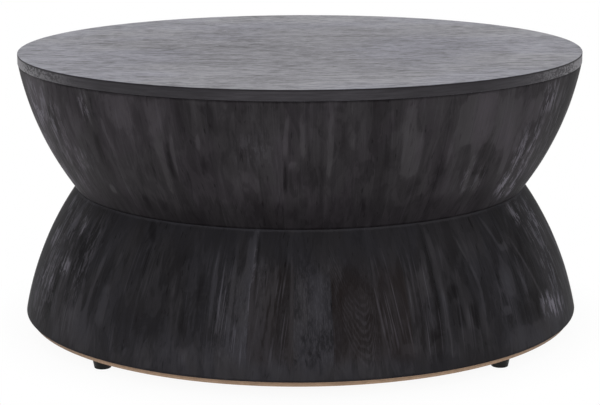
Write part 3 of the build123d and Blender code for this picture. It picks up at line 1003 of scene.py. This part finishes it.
def board_grid(number):
    """One board, as its outline carried up its edge. The outline goes up the right arc, back along
    the far joint, down the left arc and along the near joint. On the arcs x is radius times sin
    and y is minus radius times cos of the turn from the front, and a row's insets shorten the
    radius and pull in the joints."""
    near_y = -TOP_RADIUS + BOARD_WIDTH * number
    far_y = near_y + BOARD_WIDTH
    profile, over = board_profile()
    rim_inset = (RIM_EASE * profile[:, 0])[:, None]
    joint_inset = (JOINT_EASE * profile[:, 0])[:, None]
    radius = TOP_RADIUS - rim_inset
    near_y = near_y + joint_inset * (number > 0)
    far_y = far_y - joint_inset * (number < BOARD_COUNT - 1)
    first_turn = np.arccos(np.clip(-near_y / radius, -1, 1))
    last_turn = np.arccos(np.clip(-far_y / radius, -1, 1))

    turn = first_turn + (last_turn - first_turn) * np.linspace(0, 1, ARC_POINTS)[None, :]
    arc_x = radius * np.sin(turn)
    arc_y = -radius * np.cos(turn)
    across = np.linspace(1, -1, FACE_COLUMNS)[None, 1:-1]
    far_x = across * arc_x[:, -1:]
    near_x = -across * arc_x[:, :1]
    x = np.concatenate([arc_x, far_x, -arc_x[:, ::-1], near_x], axis=1)
    far_side = far_x * 0 + arc_y[:, -1:]
    near_side = near_x * 0 + arc_y[:, :1]
    y = np.concatenate([arc_y, far_side, arc_y[:, ::-1], near_side], axis=1)
    last, first = number == BOARD_COUNT - 1, number == 0
    on_rim = np.repeat([1.0, last, 1.0, first], [ARC_POINTS, FACE_COLUMNS - 2] * 2)
    drop = profile[:, 1][:, None] * (JOINT_EASE + (RIM_EASE - JOINT_EASE) * on_rim)
    over = over[:, None]
    z = (TOP_Z + drop) * (1 - over) + (TOP_FACE_Z - drop) * over
    return np.stack([x, y, z], axis=-1)


def board_faces(rows, columns):
    """The edge as a tube, with one flat many-sided face under the board and one over it."""
    corner = corners(rows, columns)
    sides = tube_faces(rows, columns).tolist()
    return sides + [corner[0].tolist(), corner[-1].tolist()]


# %% Top boards
for number in range(BOARD_COUNT):
    grid = board_grid(number)
    rows, columns = grid.shape[:2]
    kept = {"board": np.full(rows * columns, float(number))}
    name = f"top_plank_{number + 1}"
    piece = make_piece(
        name, grid.reshape(-1, 3), board_faces(rows, columns), [top_finish, rim_finish], kept
    )
    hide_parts(f"top_board_{number + 1}")
print("top boards:", BOARD_COUNT)

# %% [markdown]
# ## The rubber feet
#
# Each foot is a moulded rubber bumper, a little narrower at the sole, with a recess for its screw.
# A turned part is a profile carried round a centre line. The profile here closes on itself, up the
# recess and down the outside, so the foot is one closed skin with no poles.

# %% Feet
FOOT_TOP_RADIUS = 0.016
FOOT_SOLE_RADIUS = 0.013
FOOT_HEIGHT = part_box("base_board")[0][2]
RECESS_RADIUS = 0.0075
RECESS_DEPTH = 0.008
SCREW_HOLE_RADIUS = 0.0024
SOLE_ROUND = 0.0012
LIP_ROUND = 0.0005
FINE_ROUND = 0.0004
COLLAR_DEPTHS = (0.0014, 0.0019)
COLLAR_STEP = 0.0006
SIDE_SLOPE = 0.15
CORNER_POINTS = 6
FOOT_TURNS = 72
FOOT_COUNT = 4


def rounded_corner(middle, height, radius, first_turn, last_turn):
    """Points of a round corner as (radius, height), by turning about its centre."""
    turn = np.linspace(first_turn, last_turn, CORNER_POINTS)
    return np.stack([middle + radius * np.cos(turn), height + radius * np.sin(turn)], axis=1)


def foot_profile():
    """The foot's section, from its screw hole out over the top, down the side, round the sole and
    up the recess."""
    quarter = np.pi / 2
    top_round = (FOOT_TOP_RADIUS - FINE_ROUND, FOOT_HEIGHT - FINE_ROUND, FINE_ROUND)
    recess_round = (RECESS_RADIUS - FINE_ROUND, RECESS_DEPTH - FINE_ROUND, FINE_ROUND)
    return np.concatenate([
        [[SCREW_HOLE_RADIUS, FOOT_HEIGHT]],
        rounded_corner(*top_round, quarter, 0.0),
        [[FOOT_TOP_RADIUS, FOOT_HEIGHT - COLLAR_DEPTHS[0]]],
        [[FOOT_TOP_RADIUS - COLLAR_STEP, FOOT_HEIGHT - COLLAR_DEPTHS[1]]],
        rounded_corner(FOOT_SOLE_RADIUS - SOLE_ROUND, SOLE_ROUND, SOLE_ROUND, SIDE_SLOPE, -quarter),
        rounded_corner(RECESS_RADIUS + LIP_ROUND, LIP_ROUND, LIP_ROUND, -quarter, -2 * quarter),
        rounded_corner(*recess_round, 0.0, quarter),
        [[SCREW_HOLE_RADIUS, RECESS_DEPTH]],
    ])


def turned_grid(profile, centre_x, centre_y, turns):
    """A closed profile carried round an upright line. Both ways of the grid close."""
    angle = np.linspace(0, 2 * np.pi, turns, endpoint=False)[:, None]
    radius = profile[None, :, 0]
    x = centre_x + radius * np.cos(angle)
    y = centre_y + radius * np.sin(angle)
    z = np.broadcast_to(profile[None, :, 1], x.shape)
    return np.stack([x, y, z], axis=-1)


def ring_faces(rows, columns):
    """Quads of a grid that closes both ways."""
    corner = corners(rows, columns)
    beside = np.roll(corner, -1, axis=1)
    onward = np.roll(corner, -1, axis=0)
    return np.stack([corner, beside, np.roll(beside, -1, axis=0), onward], axis=-1).reshape(-1, 4)


RUBBER_BLACK = (0.006, 0.0065, 0.006)
RUBBER_DUSTY = (0.022, 0.022, 0.021)
RUBBER_RELIEF = 0.00015


def moulded_rubber(name):
    """Black rubber: a fine pitted skin, duller and greyer where dust has caught."""
    rubber = new_finish(name)
    place = rubber.place()
    pits = rubber.noise(place, (1400, 1400, 1400), 2, 0.6)
    dust = rubber.step(rubber.noise(place, (160, 160, 160), 3), 0.45, 0.75)
    skin = rubber.surface(
        Base_Color=rubber.mix(dust * 0.6, RUBBER_BLACK, RUBBER_DUSTY),
        Roughness=0.55 + dust * 0.2,
        Specular_IOR_Level=0.2,
        Normal=rubber.bump(pits, RUBBER_RELIEF),
    )
    return rubber.end(skin)


rubber_finish = moulded_rubber("moulded_rubber")
profile = foot_profile()
for number in range(1, FOOT_COUNT + 1):
    low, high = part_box(f"foot_{number}")
    grid = turned_grid(profile, (low[0] + high[0]) / 2, (low[1] + high[1]) / 2, FOOT_TURNS)
    faces = ring_faces(FOOT_TURNS, len(profile))
    piece = make_piece(f"rubber_foot_{number}", grid.reshape(-1, 3), faces, [rubber_finish], {})
    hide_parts(f"foot_{number}")
print("feet:", FOOT_COUNT)


# %% [markdown]
# ## Plywood and steel
#
# The rings inside and the base board are plywood, and their solids are already right. Plywood shows
# thin plies on its edge, some along the grain and some across, so a wave over the height gives the
# plies and stretched noise gives each face its grain. Screws, bolts and washers are zinc plated.

# %% Plywood and zinc
PLY_PALE = (0.66, 0.445, 0.300)
PLY_DARK = (0.48, 0.315, 0.210)
PLY_LINE = (0.20, 0.130, 0.090)
PLY_SIDE_SHADE = (0.13, 0.105, 0.090)
PLY_TOP_BAND_DARK = (0.030, 0.026, 0.027)
PLY_PITCH = 0.0032
PLY_RELIEF = 0.0002
TOP_BAND_HEIGHTS = (0.0208, 0.0222)
ZINC_DARK = (0.50, 0.52, 0.53)
ZINC_PALE = (0.68, 0.68, 0.66)
ZINC_RELIEF = 0.00006


def bare_plywood(name):
    """Plies from a wave over the height, face grain from noise stretched along x, and edges darkened
    towards the sides, which is painted shade. On the left the top of the edge is darker."""
    wood = new_finish(name)
    place = wood.place()
    x, _, z = wood.parts(place)
    grain = wood.noise(place, (12, 260, 260), 4, 0.6)
    fleck = wood.noise(place, (420, 420, 900), 2, 0.7)
    ply = wood.wave(z * (2 * np.pi / PLY_PITCH))
    edge_face = 1 - wood.size(wood.parts(wood.node("ShaderNodeNewGeometry", {}, {}, 1))[2])
    shade = wood.mix(wood.step(grain * 0.7 + fleck * 0.3, 0.35, 0.68), PLY_PALE, PLY_DARK)
    shade = wood.mix(wood.step(ply, 0.55, 0.95) * edge_face * 0.22, shade, PLY_LINE)
    # Painted shade: the edge darkens towards the sides.
    shade = wood.mix(wood.step(wood.size(x), 0.28, 0.44) * edge_face * 0.55, shade, PLY_SIDE_SHADE)
    # A darker band along the top of the edge, on the left side.
    run = wood.step(z, *TOP_BAND_HEIGHTS) * wood.step(0 - x, 0.06, 0.20) * edge_face
    shade = wood.mix(run * 0.85, shade, PLY_TOP_BAND_DARK)
    skin = wood.surface(
        Base_Color=shade,
        Roughness=0.58 + fleck * 0.2,
        Specular_IOR_Level=0.4,
        Normal=wood.bump(grain * 0.6 + fleck * 0.4, PLY_RELIEF),
    )
    return wood.end(skin)


def zinc_steel(name):
    """Zinc plate: fine turning marks and faint clouds in its shine."""
    metal = new_finish(name)
    place = metal.place()
    clouds = metal.noise(place, (220, 220, 220), 3, 0.6)
    marks = metal.noise(place, (900, 900, 3200), 2)
    skin = metal.surface(
        Base_Color=metal.mix(clouds, ZINC_DARK, ZINC_PALE),
        Metallic=1.0,
        Roughness=0.26 + clouds * 0.16,
        Normal=metal.bump(marks, ZINC_RELIEF),
    )
    return metal.end(skin)


plywood_finish = bare_plywood("bare_plywood")
steel_finish = zinc_steel("zinc_plated_steel")

PLYWOOD_NODES = ("rim_ring", "upper_waist_ring", "lower_waist_ring", "base_ring", "base_board")
STEEL_NODES = (
    "top_screws", "top_screw_washers", "waist_bolts", "waist_washers", "waist_nuts", "base_screws",
    "foot_screws", "foot_washers",
)


def refinish(node, finish):
    """Puts one finish on every material slot of a solid that stays."""
    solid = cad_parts[node]
    if not solid.material_slots:
        solid.data.materials.append(finish)
    for place in solid.material_slots:
        place.material = finish


for node in PLYWOOD_NODES:
    refinish(node, plywood_finish)
for node in STEEL_NODES:
    refinish(node, steel_finish)
print("solids that stay:", len(PLYWOOD_NODES) + len(STEEL_NODES))
